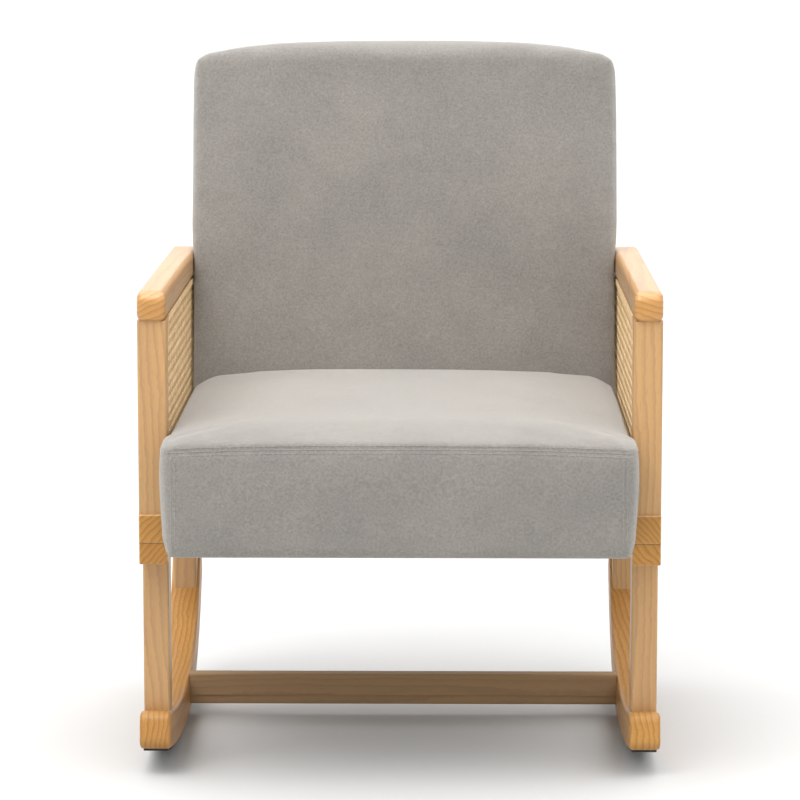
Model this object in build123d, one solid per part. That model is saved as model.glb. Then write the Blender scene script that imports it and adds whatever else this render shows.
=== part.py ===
from build123d import *
import math
import os

os.makedirs("parts", exist_ok=True)

# Rocking chair with a caned wooden arm frame on each side, an upholstered seat
# box and an upholstered high back, standing on two curved runners.
#
# Frame: +Z up, the sitter faces -Y, the sitter's left hand is at +X. The origin
# lies on the floor, under the middle of the chair's overall box.
# "s" is the distance behind the front end of the runners and "h" is the height.

# ---------------------------------------------------------------- dimensions
S_FRONT = -73.0          # front face of the seat cushion
S_REAR = 605.9           # rearmost point, the top of the back
S_MID = (S_FRONT + S_REAR) / 2

# arm frame
ARM_IN, ARM_OUT = 283.0, 318.0      # inner and outer face of the side frames, from the centre plane
ARM_LEN = 560.0                     # length of the armrest
ARM_BOT, ARM_TOP = 565.0, 601.0     # underside and top of the armrest
ARM_EDGE = 8.0                      # rounding of the armrest's upper edges
ARM_NOSE = 15.0                     # rounding of its front end
POST_S = (5.0, 40.0)                # front post, front to back
REAR_POST_S = (525.0, 560.0)
RAIL_BOT, RAIL_TOP = 293.0, 328.0   # lower rail of the arm frame
OPEN_R = 28.0                       # corner radius of the caned opening

# base
BASE_BOT = 266.0                    # underside of the base rail; its top is RAIL_BOT
LEG_X = (285.0, 317.0)              # lower legs
FRONT_LEG_S = (42.0, 80.0)
REAR_LEG_S = (524.0, 559.0)
RUN_IN, RUN_OUT = 281.5, 320.0      # runner, inner and outer face
RUN_T = 49.0                        # runner and its strip, measured across the curve
STRIP_T = 2.5                       # anti-slip strip
STRIP_W = 30.0
CONTACT_S = 306.0                   # where the runners touch the floor at rest
R_FRONT = 1400.0                    # rocking radius ahead of the contact line
R_REAR = 430.0                      # and behind it
R_TAIL = 300.0                      # the tighter curve of the tail
TAIL_FROM = 15.0                    # where that starts, in degrees behind the contact line
TAIL_DEG = 61.0                     # and where it ends
BAR_S = (334.0, 356.0)              # crossbar between the runners
BAR_H = (15.5, 56.5)

# seat
SEAT_HALF = 281.0                   # half width of the seat between the arm frames
SEAT_BOT = 291.5
SEAT_SEAM = 423.0                   # height of the front top seam
SEAT_CROWN = 438.0                  # highest point of the cushion
BOX_REAR = 522.0                    # rear face of the seat box
DECK = 374.0                        # top of the seat box under the back
COVER_T = 2.0                       # fabric with its lining
RAIL_T = 20.0                       # seat rails
SR_BOT, SR_TOP = 293.0, 364.0

# back
BACK_HALF = 281.0
BACK_S, BACK_H = 445.0, 435.0       # a point of its front face
LEAN = 11.5                         # degrees back from upright
BACK_T = 74.0                       # thickness
BACK_CREST = 880.0                  # height of the arched top
BACK_BOT = 375.0
BACK_CORNER = 20.0
STILE_X = (240.0, 260.0)
STILE_W = (35.0, 67.0)              # stiles, measured back from the front face

DOWEL_R, DOWEL_L = 4.0, 36.0
CLEAR = 0.05                        # radial clearance round dowels and nuts


# ------------------------------------------------------------------- helpers
def box(x, s, h):
    """A block from (x0, x1), (s0, s1), (h0, h1)."""
    return Pos((x[0] + x[1]) / 2, (s[0] + s[1]) / 2 - S_MID, (h[0] + h[1]) / 2) * Box(
        abs(x[1] - x[0]), abs(s[1] - s[0]), abs(h[1] - h[0])
    )


def side_plane(x):
    """The plane of constant x whose own axes are s (less S_MID) and h."""
    return Plane(origin=(x, 0, 0), x_dir=(0, 1, 0), z_dir=(1, 0, 0))


def slab(sketch, x0, x1):
    """A sketch in (s - S_MID, h), extruded from x0 to x1."""
    return extrude(side_plane(x0) * sketch, amount=x1 - x0)


def rod(r, length, centre, axis):
    """A cylinder about centre (x, s, h) along axis X, Y or Z."""
    turn = {"X": Rot(0, 90, 0), "Y": Rot(90, 0, 0), "Z": Rot(0, 0, 0)}[axis]
    return Pos(centre[0], centre[1] - S_MID, centre[2]) * turn * Cylinder(r, length)


def grp(solids):
    out = []
    for s in solids:
        out.extend(s.solids())
    return Compound(children=out)


def save(shape, name):
    if isinstance(shape, (list, tuple)):
        shape = grp(shape)
    elif len(shape.solids()) > 1:
        shape = grp([shape])
    else:
        shape = shape.solids()[0]
    export_step(shape, f"parts/{name}.step")


def both(shape, name):
    """Writes a piece modelled on the +X side, and its mirror image."""
    save(shape, "left_" + name)
    if isinstance(shape, (list, tuple)):
        shape = [mirror(s, about=Plane.YZ) for s in shape]
    else:
        shape = mirror(shape, about=Plane.YZ)
    save(shape, "right_" + name)


def ease(solid, edges, radius):
    """Rounds edges, or as many of the smaller radii as the corner allows."""
    for r in (radius, radius * 0.7, radius * 0.4):
        try:
            return fillet(edges, r)
        except Exception:
            continue
    return solid


def long_edges(solid, axis, least):
    return [e for e in solid.edges().filter_by(axis) if e.length > least]


# ------------------------------------------------------------ side arm frame
xa = (ARM_IN, ARM_OUT)
xc = (ARM_IN + ARM_OUT) / 2

opening_s = (POST_S[1], REAR_POST_S[0])
opening_h = (RAIL_TOP, ARM_BOT)
OPEN_W, OPEN_HT = opening_s[1] - opening_s[0], opening_h[1] - opening_h[0]
open_c = ((opening_s[0] + opening_s[1]) / 2 - S_MID, (opening_h[0] + opening_h[1]) / 2)


def opening(inset, corner):
    return Pos(*open_c) * RectangleRounded(OPEN_W - 2 * inset, OPEN_HT - 2 * inset, corner)


# armrest: a bar with its upper edges and its front end well rounded
arm = slab(
    Pos(ARM_LEN / 2 - S_MID, (ARM_BOT + ARM_TOP) / 2)
    * Rectangle(ARM_LEN, ARM_TOP - ARM_BOT),
    *xa,
)
top_edges = [e for e in arm.edges() if abs(e.center().Z - ARM_TOP) < 0.1]
front_top = [e for e in top_edges if abs(e.center().Y - (0 - S_MID)) < 0.1]
arm = fillet(front_top, ARM_NOSE)
arm = ease(arm, [e for e in arm.edges() if abs(e.center().Y + S_MID) < 0.1 and abs(e.center().Z - ARM_BOT) < 0.1], 5)
arm = ease(
    arm,
    [
        e
        for e in arm.edges()
        if e.length > 8
        and e.center().Z > ARM_BOT + 4
        and (abs(e.center().X - ARM_IN) < 0.1 or abs(e.center().X - ARM_OUT) < 0.1)
    ],
    ARM_EDGE,
)

# posts: straight bars that flare into the armrest and rail with the opening's corner radius
front_post = slab(
    Pos((POST_S[0] + POST_S[1] + OPEN_R) / 2 - S_MID, (RAIL_TOP + ARM_BOT) / 2)
    * Rectangle(POST_S[1] + OPEN_R - POST_S[0], ARM_BOT - RAIL_TOP)
    - opening(0, OPEN_R),
    *xa,
)
front_post = ease(
    front_post,
    [
        e
        for e in front_post.edges().filter_by(Axis.Z)
        if e.length > 200 and abs(e.center().Y - (POST_S[0] - S_MID)) < 0.1
    ],
    3.5,
)
rear_post = slab(
    Pos((REAR_POST_S[0] - OPEN_R + REAR_POST_S[1]) / 2 - S_MID, (RAIL_TOP + ARM_BOT) / 2)
    * Rectangle(REAR_POST_S[1] - REAR_POST_S[0] + OPEN_R, ARM_BOT - RAIL_TOP)
    - opening(0, OPEN_R),
    *xa,
)
rear_post = ease(
    rear_post,
    [
        e
        for e in rear_post.edges().filter_by(Axis.Z)
        if e.length > 200 and abs(e.center().Y - (REAR_POST_S[1] - S_MID)) < 0.1
    ],
    3.5,
)

arm_rail = box(xa, (1.0, ARM_LEN), (RAIL_BOT, RAIL_TOP))
arm_rail = ease(arm_rail, [e for e in arm_rail.edges() if abs(e.center().Y - (1.0 - S_MID)) < 0.1], 2.0)
base_rail = box((ARM_IN, ARM_OUT), (3.0, 558.0), (BASE_BOT, RAIL_BOT))
base_rail = ease(
    base_rail,
    [e for e in base_rail.edges() if abs(e.center().Y - (3.0 - S_MID)) < 0.1]
    + [e for e in base_rail.edges().filter_by(Axis.Y) if e.center().Z < BASE_BOT + 1],
    2.0,
)

# ---------------------------------------------------------- runner and strip
a_f = math.asin((CONTACT_S - 0.0) / R_FRONT)
a_t = math.radians(TAIL_DEG)


a_m = math.radians(TAIL_FROM)


def pt(radius, inset, angle):
    """A point of the curve that lies inset above the rocking line."""
    c_s, c_h = CONTACT_S, radius
    if radius == R_TAIL:
        c_s = CONTACT_S + (R_REAR - R_TAIL) * math.sin(a_m)
        c_h = R_REAR - (R_REAR - R_TAIL) * math.cos(a_m)
    return (
        c_s + (radius - inset) * math.sin(angle) - S_MID,
        c_h - (radius - inset) * math.cos(angle),
    )


def curved(i0, i1, af, at):
    """The region between two parallel rocking curves, from angle -af to at."""
    edges = Curve() + [
        ThreePointArc(pt(R_FRONT, i0, -af), pt(R_FRONT, i0, -af / 2), pt(R_FRONT, i0, 0)),
        ThreePointArc(pt(R_REAR, i0, 0), pt(R_REAR, i0, a_m / 2), pt(R_REAR, i0, a_m)),
        ThreePointArc(pt(R_TAIL, i0, a_m), pt(R_TAIL, i0, (a_m + at) / 2), pt(R_TAIL, i0, at)),
        Line(pt(R_TAIL, i0, at), pt(R_TAIL, i1, at)),
        ThreePointArc(pt(R_TAIL, i1, at), pt(R_TAIL, i1, (a_m + at) / 2), pt(R_TAIL, i1, a_m)),
        ThreePointArc(pt(R_REAR, i1, a_m), pt(R_REAR, i1, a_m / 2), pt(R_REAR, i1, 0)),
        ThreePointArc(pt(R_FRONT, i1, 0), pt(R_FRONT, i1, -af / 2), pt(R_FRONT, i1, -af)),
        Line(pt(R_FRONT, i1, -af), pt(R_FRONT, i0, -af)),
    ]
    return make_face(edges)


runner_face = curved(STRIP_T, RUN_T, a_f, a_t)
tail = [v for v in runner_face.vertices() if v.X > 540 - S_MID]
nose = [v for v in runner_face.vertices() if v.X < 30 - S_MID]
runner_plain = slab(runner_face, RUN_IN, RUN_OUT)
low_tail = min(tail, key=lambda v: v.Y)
high_tail = max(tail, key=lambda v: v.Y)
runner_face = fillet([low_tail], 18)
high_tail = [v for v in runner_face.vertices() if (v - Vertex(high_tail.X, high_tail.Y, 0)).center().length < 0.5]
runner_face = fillet(high_tail, 10) if high_tail else runner_face
nose = sorted(runner_face.vertices(), key=lambda v: v.X)[:2]
runner_face = fillet(nose, 13)
runner = slab(runner_face, RUN_IN, RUN_OUT)
runner = ease(
    runner,
    [
        e
        for e in runner.edges()
        if abs(e.center().X - RUN_IN) < 0.1 or abs(e.center().X - RUN_OUT) < 0.1
    ],
    5.0,
)
xr = (RUN_IN + RUN_OUT) / 2
strip = slab(
    curved(0, STRIP_T, a_f - 14 / R_FRONT, a_t - 26 / R_TAIL),
    xr - STRIP_W / 2,
    xr + STRIP_W / 2,
)

# lower legs, scribed to the runner's upper curve
front_leg = box(LEG_X, FRONT_LEG_S, (52.0, BASE_BOT)) - runner_plain
rear_leg = box(LEG_X, REAR_LEG_S, (122.0, BASE_BOT)) - runner_plain
front_leg = max(front_leg.solids(), key=lambda v: v.volume)
rear_leg = max(rear_leg.solids(), key=lambda v: v.volume)
front_leg = ease(front_leg, long_edges(front_leg, Axis.Z, 100), 3.0)
rear_leg = ease(rear_leg, long_edges(rear_leg, Axis.Z, 60), 3.0)

# crossbar between the runners: the lower part of its front face is set back a little
crossbar = box((-RUN_IN, RUN_IN), BAR_S, BAR_H) - box(
    (-RUN_IN, RUN_IN), (BAR_S[0], BAR_S[0] + 2.0), (BAR_H[0], BAR_H[0] + 12.5)
)
crossbar = ease(crossbar, [e for e in crossbar.edges().filter_by(Axis.X) if e.center().Z > BAR_H[1] - 1], 2.5)
crossbar = ease(
    crossbar,
    [e for e in crossbar.edges().filter_by(Axis.X) if e.center().Z < BAR_H[0] + 1],
    2.5,
)

# --------------------------------------------------- caning in the arm frame
cane_panel = slab(opening(0.3, OPEN_R - 0.3), 285.6, 287.2)
cane_spline = slab(opening(0.3, OPEN_R - 0.3) - opening(6.3, OPEN_R - 6.3), 283.4, 285.4)
cane_bead = slab(opening(0.3, OPEN_R - 0.3) - opening(9.3, OPEN_R - 9.3), 287.4, 293.4)

# ------------------------------------------------------------ seat structure
front_rail = box((-279, 279), (-69.0, -69.0 + RAIL_T), (SR_BOT, SR_TOP))
rear_rail = box((-279, 279), (500.0, 520.0), (SR_BOT, SR_TOP))
side_rail = box((261.0, 279.0), (-49.0, 500.0), (SR_BOT, SR_TOP))
front_rail = ease(
    front_rail,
    [e for e in front_rail.edges().filter_by(Axis.Z) if e.center().Y < -68.0 - S_MID],
    7.0,
)


def corner_block(x, s, dx, ds):
    """A triangular glue block in a corner of the seat box."""
    pts = [(x, s - S_MID), (x + dx * 46, s - S_MID), (x, s + ds * 46 - S_MID)]
    return Pos(0, 0, 300.0) * extrude(make_face(Polyline(*pts, close=True)), amount=50)


blocks = [
    corner_block(261.0, -49.0, -1, 1),
    corner_block(-261.0, -49.0, 1, 1),
]
blocks = [b if b.solids()[0].volume > 0 else -b for b in blocks]

# sinuous springs, front to back on top of the rails
SPRING_R = 1.7
SPRING_H = SR_TOP + 1.5 + SPRING_R
SPRING_X = (-168.0, -84.0, 0.0, 84.0, 168.0)
SPRING_STEP = 17.0                  # between a spring's bars
SPRING_BARS = 33
SPRING_FROM = -55.0


def sinuous(x):
    """One zigzag spring wire of straight bars joined by half turns."""
    half, r = 20.0, SPRING_STEP / 2
    n = SPRING_BARS
    s = SPRING_FROM
    path = [Line((x - half, s - S_MID), (x + half, s - S_MID))]
    side = 1
    for i in range(n):
        a = (x + side * half, s - S_MID)
        b = (x + side * half, s + 2 * r - S_MID)
        m = (x + side * (half + r), s + r - S_MID)
        path.append(ThreePointArc(a, m, b))
        s += 2 * r
        path.append(Line(b, (x - side * half, s - S_MID)))
        side = -side
    wire = Wire([e for p in path for e in p.edges()])
    wire = wire.moved(Location((0, 0, SPRING_H)))
    start = Plane(origin=wire @ 0, z_dir=wire % 0)
    return sweep(start * Circle(SPRING_R), path=wire)


springs = [sinuous(x) for x in SPRING_X]
spring_end = SPRING_FROM + SPRING_BARS * SPRING_STEP


def clip(x, s, ds):
    """A bent steel clip that holds a spring's last bar on the rail."""
    lo, hi = SR_TOP, SPRING_H + SPRING_R + 0.3
    a = box((x - 12, x + 12), (s - ds * 5, s + ds * 9), (lo, lo + 1.2))
    b = box((x - 12, x + 12), (s - ds * 5, s + ds * 9), (hi, hi + 1.2))
    c = box((x - 12, x + 12), (s + ds * 7.8, s + ds * 9), (lo, hi + 1.2))
    return a + b + c


clips = [clip(x, SPRING_FROM, -1) for x in SPRING_X] + [clip(x, spring_end, 1) for x in SPRING_X]

# ------------------------------------------------- seat cushion and its cover
tan_l = math.tan(math.radians(LEAN))


def front_face_s(h, gap):
    """Where the back's front face lies at height h."""
    return BACK_S + (h - BACK_H) * tan_l - gap


def seat_outline(t, bottom):
    top_r = SEAT_CROWN - 4.0 - t
    pts = [
        (S_FRONT + t - S_MID, bottom),
        (S_FRONT + t - S_MID, SEAT_SEAM - t),
        (S_FRONT + t + 9 - S_MID, SEAT_SEAM + 6.5 - t),
    ]
    e = [
        Line(pts[0], pts[1]),
        Line(pts[1], pts[2]),
        ThreePointArc(pts[2], (150 - S_MID, SEAT_CROWN - t), (front_face_s(top_r, 1.0 + t) - S_MID, top_r)),
        Line(
            (front_face_s(top_r, 1.0 + t) - S_MID, top_r),
            (front_face_s(DECK - t, 1.0 + t) - S_MID, DECK - t),
        ),
        Line((front_face_s(DECK - t, 1.0 + t) - S_MID, DECK - t), (BOX_REAR - t - S_MID, DECK - t)),
        Line((BOX_REAR - t - S_MID, DECK - t), (BOX_REAR - t - S_MID, bottom)),
        Line((BOX_REAR - t - S_MID, bottom), pts[0]),
    ]
    return make_face(Curve() + e)


seat_outer = slab(seat_outline(0, SEAT_BOT), -SEAT_HALF, SEAT_HALF)
seat_outer = ease(
    seat_outer,
    [
        e
        for e in seat_outer.edges().filter_by(Axis.Z)
        if abs(e.center().Y - (S_FRONT - S_MID)) < 0.1
    ],
    8.0,
)
seat_inner = slab(seat_outline(COVER_T, SEAT_BOT - 5), -SEAT_HALF + COVER_T, SEAT_HALF - COVER_T)
seat_inner = ease(
    seat_inner,
    [
        e
        for e in seat_inner.edges().filter_by(Axis.Z)
        if abs(e.center().Y - (S_FRONT + COVER_T - S_MID)) < 0.1
    ],
    6.0,
)
seat_cover = seat_outer - seat_inner

FOAM_BOT = 371.2


def foam_outline():
    t = COVER_T + 0.4
    top_r = SEAT_CROWN - 4.0 - t
    e = [
        Line((S_FRONT + t - S_MID, FOAM_BOT), (S_FRONT + t - S_MID, SEAT_SEAM - t)),
        Line((S_FRONT + t - S_MID, SEAT_SEAM - t), (S_FRONT + t + 9 - S_MID, SEAT_SEAM + 6.5 - t)),
        ThreePointArc(
            (S_FRONT + t + 9 - S_MID, SEAT_SEAM + 6.5 - t),
            (150 - S_MID, SEAT_CROWN - t),
            (front_face_s(top_r, 1.0 + t) - S_MID, top_r),
        ),
        Line((front_face_s(top_r, 1.0 + t) - S_MID, top_r), (front_face_s(FOAM_BOT, 1.0 + t) - S_MID, FOAM_BOT)),
        Line((front_face_s(FOAM_BOT, 1.0 + t) - S_MID, FOAM_BOT), (S_FRONT + t - S_MID, FOAM_BOT)),
    ]
    return make_face(Curve() + e)


seat_foam = slab(foam_outline(), -SEAT_HALF + COVER_T + 0.4, SEAT_HALF - COVER_T - 0.4)
seat_foam = ease(
    seat_foam,
    [e for e in seat_foam.edges().filter_by(Axis.Z) if e.center().Y < S_FRONT + 10 - S_MID],
    7.0,
)
dust_cover = box((-276, 276), (-67.0, 517.0), (291.7, 292.8))

# ------------------------------------------------------------ back structure
to_back = Pos(0, BACK_S - S_MID, BACK_H) * Rot(-LEAN, 0, 0)
cos_l, sin_l = math.cos(math.radians(LEAN)), math.sin(math.radians(LEAN))


def bbox_b(x, w, u):
    """A block in the back's own frame: x across, w back from its front face, u up along it."""
    return Pos((x[0] + x[1]) / 2, (w[0] + w[1]) / 2, (u[0] + u[1]) / 2) * Box(
        abs(x[1] - x[0]), abs(w[1] - w[0]), abs(u[1] - u[0])
    )


U_TOP = (BACK_CREST - BACK_H) / cos_l     # the crest, along the front face
U_CORNER = U_TOP - 12.0                   # the shoulders of the arch


def back_outline(t):
    """The back seen square on: arched top, rounded shoulders."""
    half = BACK_HALF - t
    low = -140.0
    e = [
        Line((-half, low), (-half, U_CORNER - t)),
        ThreePointArc((-half, U_CORNER - t), (0, U_TOP - t), (half, U_CORNER - t)),
        Line((half, U_CORNER - t), (half, low)),
        Line((half, low), (-half, low)),
    ]
    f = make_face(Curve() + e)
    shoulders = [v for v in f.vertices() if v.Y > 0]
    return fillet(shoulders, BACK_CORNER - t)


back_plane = Plane(origin=(0, 0, 0), x_dir=(1, 0, 0), z_dir=(0, -1, 0))  # sketch x is across, sketch y is up


def back_slab(t, w0, w1):
    f = back_plane * back_outline(t)
    return Pos(0, w1, 0) * extrude(f, amount=w1 - w0)


floor_cut = box((-400, 400), (200.0, 900.0), (100.0, BACK_BOT))
back_outer = back_slab(0, 0, BACK_T)
rim = [
    e
    for e in back_outer.edges()
    if (abs(e.center().Y - 0) < 0.1 or abs(e.center().Y - BACK_T) < 0.1) and e.center().Z > -100
]
back_outer = ease(back_outer, rim, 12.0)
back_outer = to_back * back_outer - floor_cut
back_inner = back_slab(COVER_T, COVER_T, BACK_T - COVER_T)
rim = [
    e
    for e in back_inner.edges()
    if (abs(e.center().Y - COVER_T) < 0.1 or abs(e.center().Y - BACK_T + COVER_T) < 0.1)
    and e.center().Z > -100
]
back_inner = ease(back_inner, rim, 10.0)
back_cover = back_outer - to_back * back_inner

foam_t = COVER_T + 0.5
back_foam = back_slab(foam_t, foam_t, BACK_T - foam_t)
rim = [
    e
    for e in back_foam.edges()
    if (abs(e.center().Y - foam_t) < 0.1 or abs(e.center().Y - BACK_T + foam_t) < 0.1)
    and e.center().Z > -100
]
back_foam = ease(back_foam, rim, 9.6)
back_foam = back_foam - bbox_b((-STILE_X[1] - 1, STILE_X[1] + 1), (32.0, BACK_T + 5), (-160, 437))
back_foam = to_back * back_foam - floor_cut - box((-400, 400), (200, 900), (BACK_BOT - 1, BACK_BOT + 1.5))

stile = to_back * bbox_b(STILE_X, STILE_W, (-150, 412)) - box((0, 400), (300, 700), (100, SR_BOT + 4))
slot = to_back * bbox_b((STILE_X[0] - 0.5, STILE_X[1] + 0.5), (STILE_W[0] - 0.5, STILE_W[1] + 0.5), (-100, 0))
seat_cover = seat_cover - slot - mirror(slot, about=Plane.YZ)
back_top_rail = to_back * bbox_b((-STILE_X[1], STILE_X[1]), STILE_W, (412, 434))
back_mid_rail = to_back * bbox_b((-STILE_X[0], STILE_X[0]), (STILE_W[0] + 12, STILE_W[1]), (190, 212))
back_low_rail = to_back * bbox_b((-STILE_X[0], STILE_X[0]), STILE_W, (-42, -20))
webbing = [
    to_back * bbox_b((-STILE_X[1], STILE_X[1]), (32.8, 34.3), (u, u + 50.0))
    for u in (10.0, 90.0, 170.0, 250.0, 330.0)
]

# ------------------------------------------------------------------ fittings
# dowels: two across each joint, with their bores in both pieces
frame_pins = []
for s in (sum(POST_S) / 2, sum(REAR_POST_S) / 2):
    for h in (ARM_BOT, RAIL_TOP):
        for dx in (-8.0, 8.0):
            frame_pins.append((xc + dx, s, h))
xl = sum(LEG_X) / 2
base_pins = []
for s, h in (
    (sum(FRONT_LEG_S) / 2, BASE_BOT),
    (sum(REAR_LEG_S) / 2, BASE_BOT),
    (sum(FRONT_LEG_S) / 2, 73.0),
    (sum(REAR_LEG_S) / 2, 155.0),
):
    for dx in (-7.5, 7.5):
        base_pins.append((xl + dx, s, h))


def bores(pins, r, length, axis="Z"):
    out = None
    for p in pins:
        c = rod(r, length, p, axis)
        out = c if out is None else out + c
    return out


fb = bores(frame_pins, DOWEL_R + CLEAR, DOWEL_L + 1)
arm, arm_rail, front_post, rear_post = (v - fb for v in (arm, arm_rail, front_post, rear_post))
bb = bores(base_pins, DOWEL_R + CLEAR, DOWEL_L + 1)
base_rail, front_leg, rear_leg, runner = (v - bb for v in (base_rail, front_leg, rear_leg, runner))
frame_dowels = [rod(DOWEL_R, DOWEL_L, p, "Z") for p in frame_pins]
base_dowels = [rod(DOWEL_R, DOWEL_L, p, "Z") for p in base_pins]

# M6 socket bolts. Each is a head with a hexagonal socket and a shank along one axis
BOLT_R, HEAD_R, HEAD_L = 3.0, 5.0, 6.0
NUT_R = 4.5


def bolt(head_out, length, axis, sign):
    """head_out is the outer end of the head; the shank runs length past the head towards sign."""
    d = {"X": (1, 0, 0), "Z": (0, 0, 1)}[axis]
    v = [sign * k for k in d]

    def at(t):
        return tuple(head_out[i] + v[i] * t for i in range(3))

    head = rod(HEAD_R, HEAD_L, at(HEAD_L / 2), axis)
    turn = {"X": Rot(0, 90, 0), "Z": Rot(0, 0, 0)}[axis]
    c = at(1.5)
    socket = Pos(c[0], c[1] - S_MID, c[2]) * turn * extrude(RegularPolygon(2.9, 6), amount=1.8, both=True)
    shank = rod(BOLT_R, length, at(HEAD_L + length / 2), axis)
    return head - socket + shank


def sleeve(centre, length, axis):
    """A threaded insert pressed into the wood."""
    return rod(NUT_R, length, centre, axis) - rod(BOLT_R + CLEAR, length + 2, centre, axis)


# base rail to arm rail, from below
base_bolts, base_nuts = [], []
for s in (140.0, 420.0):
    base_bolts.append(bolt((xc, s, BASE_BOT + 1.5), 40.0, "Z", 1))
    base_nuts.append(sleeve((xc, s, 307.0), 14.0, "Z"))
    base_rail = base_rail - rod(6.6, 15.2, (xc, s, BASE_BOT), "Z") - rod(BOLT_R + 0.3, 60, (xc, s, 280), "Z")
    arm_rail = arm_rail - rod(NUT_R + CLEAR, 50.0, (xc, s, RAIL_BOT - 5 + 1.5), "Z")

# arm rail to seat box, from outside
seat_bolts, seat_nuts = [], []
for s in (190.0, 370.0):
    h = 310.5
    seat_bolts.append(bolt((ARM_OUT - 1.0, s, h), 52.0, "X", -1))
    seat_nuts.append(sleeve((269.5, s, h), 14.0, "X"))
    arm_rail = arm_rail - rod(6.6, 14.4, (ARM_OUT, s, h), "X") - rod(BOLT_R + 0.3, 80, (ARM_OUT - 30, s, h), "X")
    side_rail = side_rail - rod(NUT_R + CLEAR, 30.0, (270.0, s, h), "X")
    seat_cover = seat_cover - rod(BOLT_R + 0.3, 12, (280.0, s, h), "X") - rod(BOLT_R + 0.3, 12, (-280.0, s, h), "X")

# seat side rails to the stiles of the back, from inside
back_bolts, back_nuts = [], []
for h in (315.0, 347.0):
    s = BACK_S + 51 * cos_l + (h - BACK_H + 51 * sin_l) / cos_l * sin_l
    back_bolts.append(bolt((STILE_X[0] - HEAD_L, s, h), 34.0, "X", 1))
    back_nuts.append(sleeve((269.0, s, h), 14.0, "X"))
    stile = stile - rod(BOLT_R + 0.3, 60, (STILE_X[1], s, h), "X")
    side_rail = side_rail - rod(NUT_R + CLEAR, 30.0, (270.0, s, h), "X")

# crossbar to runners: one bolt and barrel nut, and one dowel, at each end. The nut drops in
# from the underside, where its hole is out of sight
bar_s, bar_h = (BAR_S[0] + BAR_S[1]) / 2, (BAR_H[0] + BAR_H[1]) / 2
bar_bolt = bolt((RUN_OUT - 1.5, bar_s, bar_h + 6), 64.0, "X", -1)
bar_nut = rod(5.0, 14.0, (259.0, bar_s, bar_h + 6), "Z") - rod(BOLT_R + CLEAR, 14, (259.0, bar_s, bar_h + 6), "X")
bar_dowel = rod(DOWEL_R, 30.0, (RUN_IN, bar_s + 1, bar_h - 11), "X")
runner = (
    runner
    - rod(6.6, 15.4, (RUN_OUT, bar_s, bar_h + 6), "X")
    - rod(BOLT_R + 0.3, 80, (RUN_OUT - 20, bar_s, bar_h + 6), "X")
    - rod(DOWEL_R + CLEAR, 31.0, (RUN_IN, bar_s + 1, bar_h - 11), "X")
)
for k in (1, -1):
    crossbar = (
        crossbar
        - rod(BOLT_R + 0.3, 60, (k * (RUN_IN - 4), bar_s, bar_h + 6), "X")
        - rod(5.0 + CLEAR, 35, (k * 259.0, bar_s, bar_h - 4.5), "Z")
        - rod(DOWEL_R + CLEAR, 31.0, (k * RUN_IN, bar_s + 1, bar_h - 11), "X")
    )

flip = lambda v: mirror(v, about=Plane.YZ)
spread = lambda group: group + [flip(v) for v in group]

# --------------------------------------------------------------------- write
both(arm, "armrest")
both(front_post, "front_post")
both(rear_post, "rear_post")
both(arm_rail, "arm_rail")
both(cane_panel, "cane_panel")
both(cane_spline, "cane_spline")
both(cane_bead, "cane_backing_bead")
both(frame_dowels, "frame_dowels")
both(base_rail, "base_rail")
both(front_leg, "front_leg")
both(rear_leg, "rear_leg")
both(runner, "rocker")
both(strip, "antislip_strip")
both(base_dowels, "base_dowels")
both(side_rail, "seat_rail")
both(stile, "back_stile")
save(crossbar, "crossbar")
save(spread([bar_bolt]), "crossbar_bolts")
save(spread([bar_nut]), "crossbar_barrel_nuts")
save(spread([bar_dowel]), "crossbar_dowels")
save(front_rail, "seat_front_rail")
save(rear_rail, "seat_rear_rail")
save(blocks, "seat_corner_blocks")
save(springs, "seat_springs")
save(clips, "seat_spring_clips")
save(seat_foam, "seat_foam")
save(seat_cover, "seat_cover")
save(dust_cover, "seat_dust_cover")
save(back_top_rail, "back_top_rail")
save(back_mid_rail, "back_middle_rail")
save(back_low_rail, "back_bottom_rail")
save(webbing, "back_webbing")
save(back_foam, "back_foam")
save(back_cover, "back_cover")
save(spread(base_bolts), "base_rail_bolts")
save(spread(base_nuts), "base_rail_inserts")
save(spread(seat_bolts), "seat_bolts")
save(spread(seat_nuts), "seat_inserts")
save(spread(back_bolts), "back_bolts")
save(spread(back_nuts), "back_inserts")
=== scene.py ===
import bpy, bmesh, math, random
from mathutils import Vector, Matrix, noise
from mathutils.bvhtree import BVHTree

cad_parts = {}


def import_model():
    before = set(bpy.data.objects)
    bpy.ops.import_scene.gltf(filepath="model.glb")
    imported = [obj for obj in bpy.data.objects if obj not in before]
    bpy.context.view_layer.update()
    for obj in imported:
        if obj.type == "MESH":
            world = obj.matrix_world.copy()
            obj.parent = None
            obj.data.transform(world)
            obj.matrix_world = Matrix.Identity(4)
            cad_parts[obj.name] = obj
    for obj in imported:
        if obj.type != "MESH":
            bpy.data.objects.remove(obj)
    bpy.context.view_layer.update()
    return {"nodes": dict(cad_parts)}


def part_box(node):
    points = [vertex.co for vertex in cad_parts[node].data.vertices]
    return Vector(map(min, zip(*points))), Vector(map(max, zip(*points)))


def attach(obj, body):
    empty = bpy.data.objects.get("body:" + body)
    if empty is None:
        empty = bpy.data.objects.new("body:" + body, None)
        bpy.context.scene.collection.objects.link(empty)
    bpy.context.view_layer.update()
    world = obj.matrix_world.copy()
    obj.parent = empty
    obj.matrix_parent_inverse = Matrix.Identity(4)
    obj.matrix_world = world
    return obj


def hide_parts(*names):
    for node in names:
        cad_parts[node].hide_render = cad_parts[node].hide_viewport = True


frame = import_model()
nodes = frame["nodes"]

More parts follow.
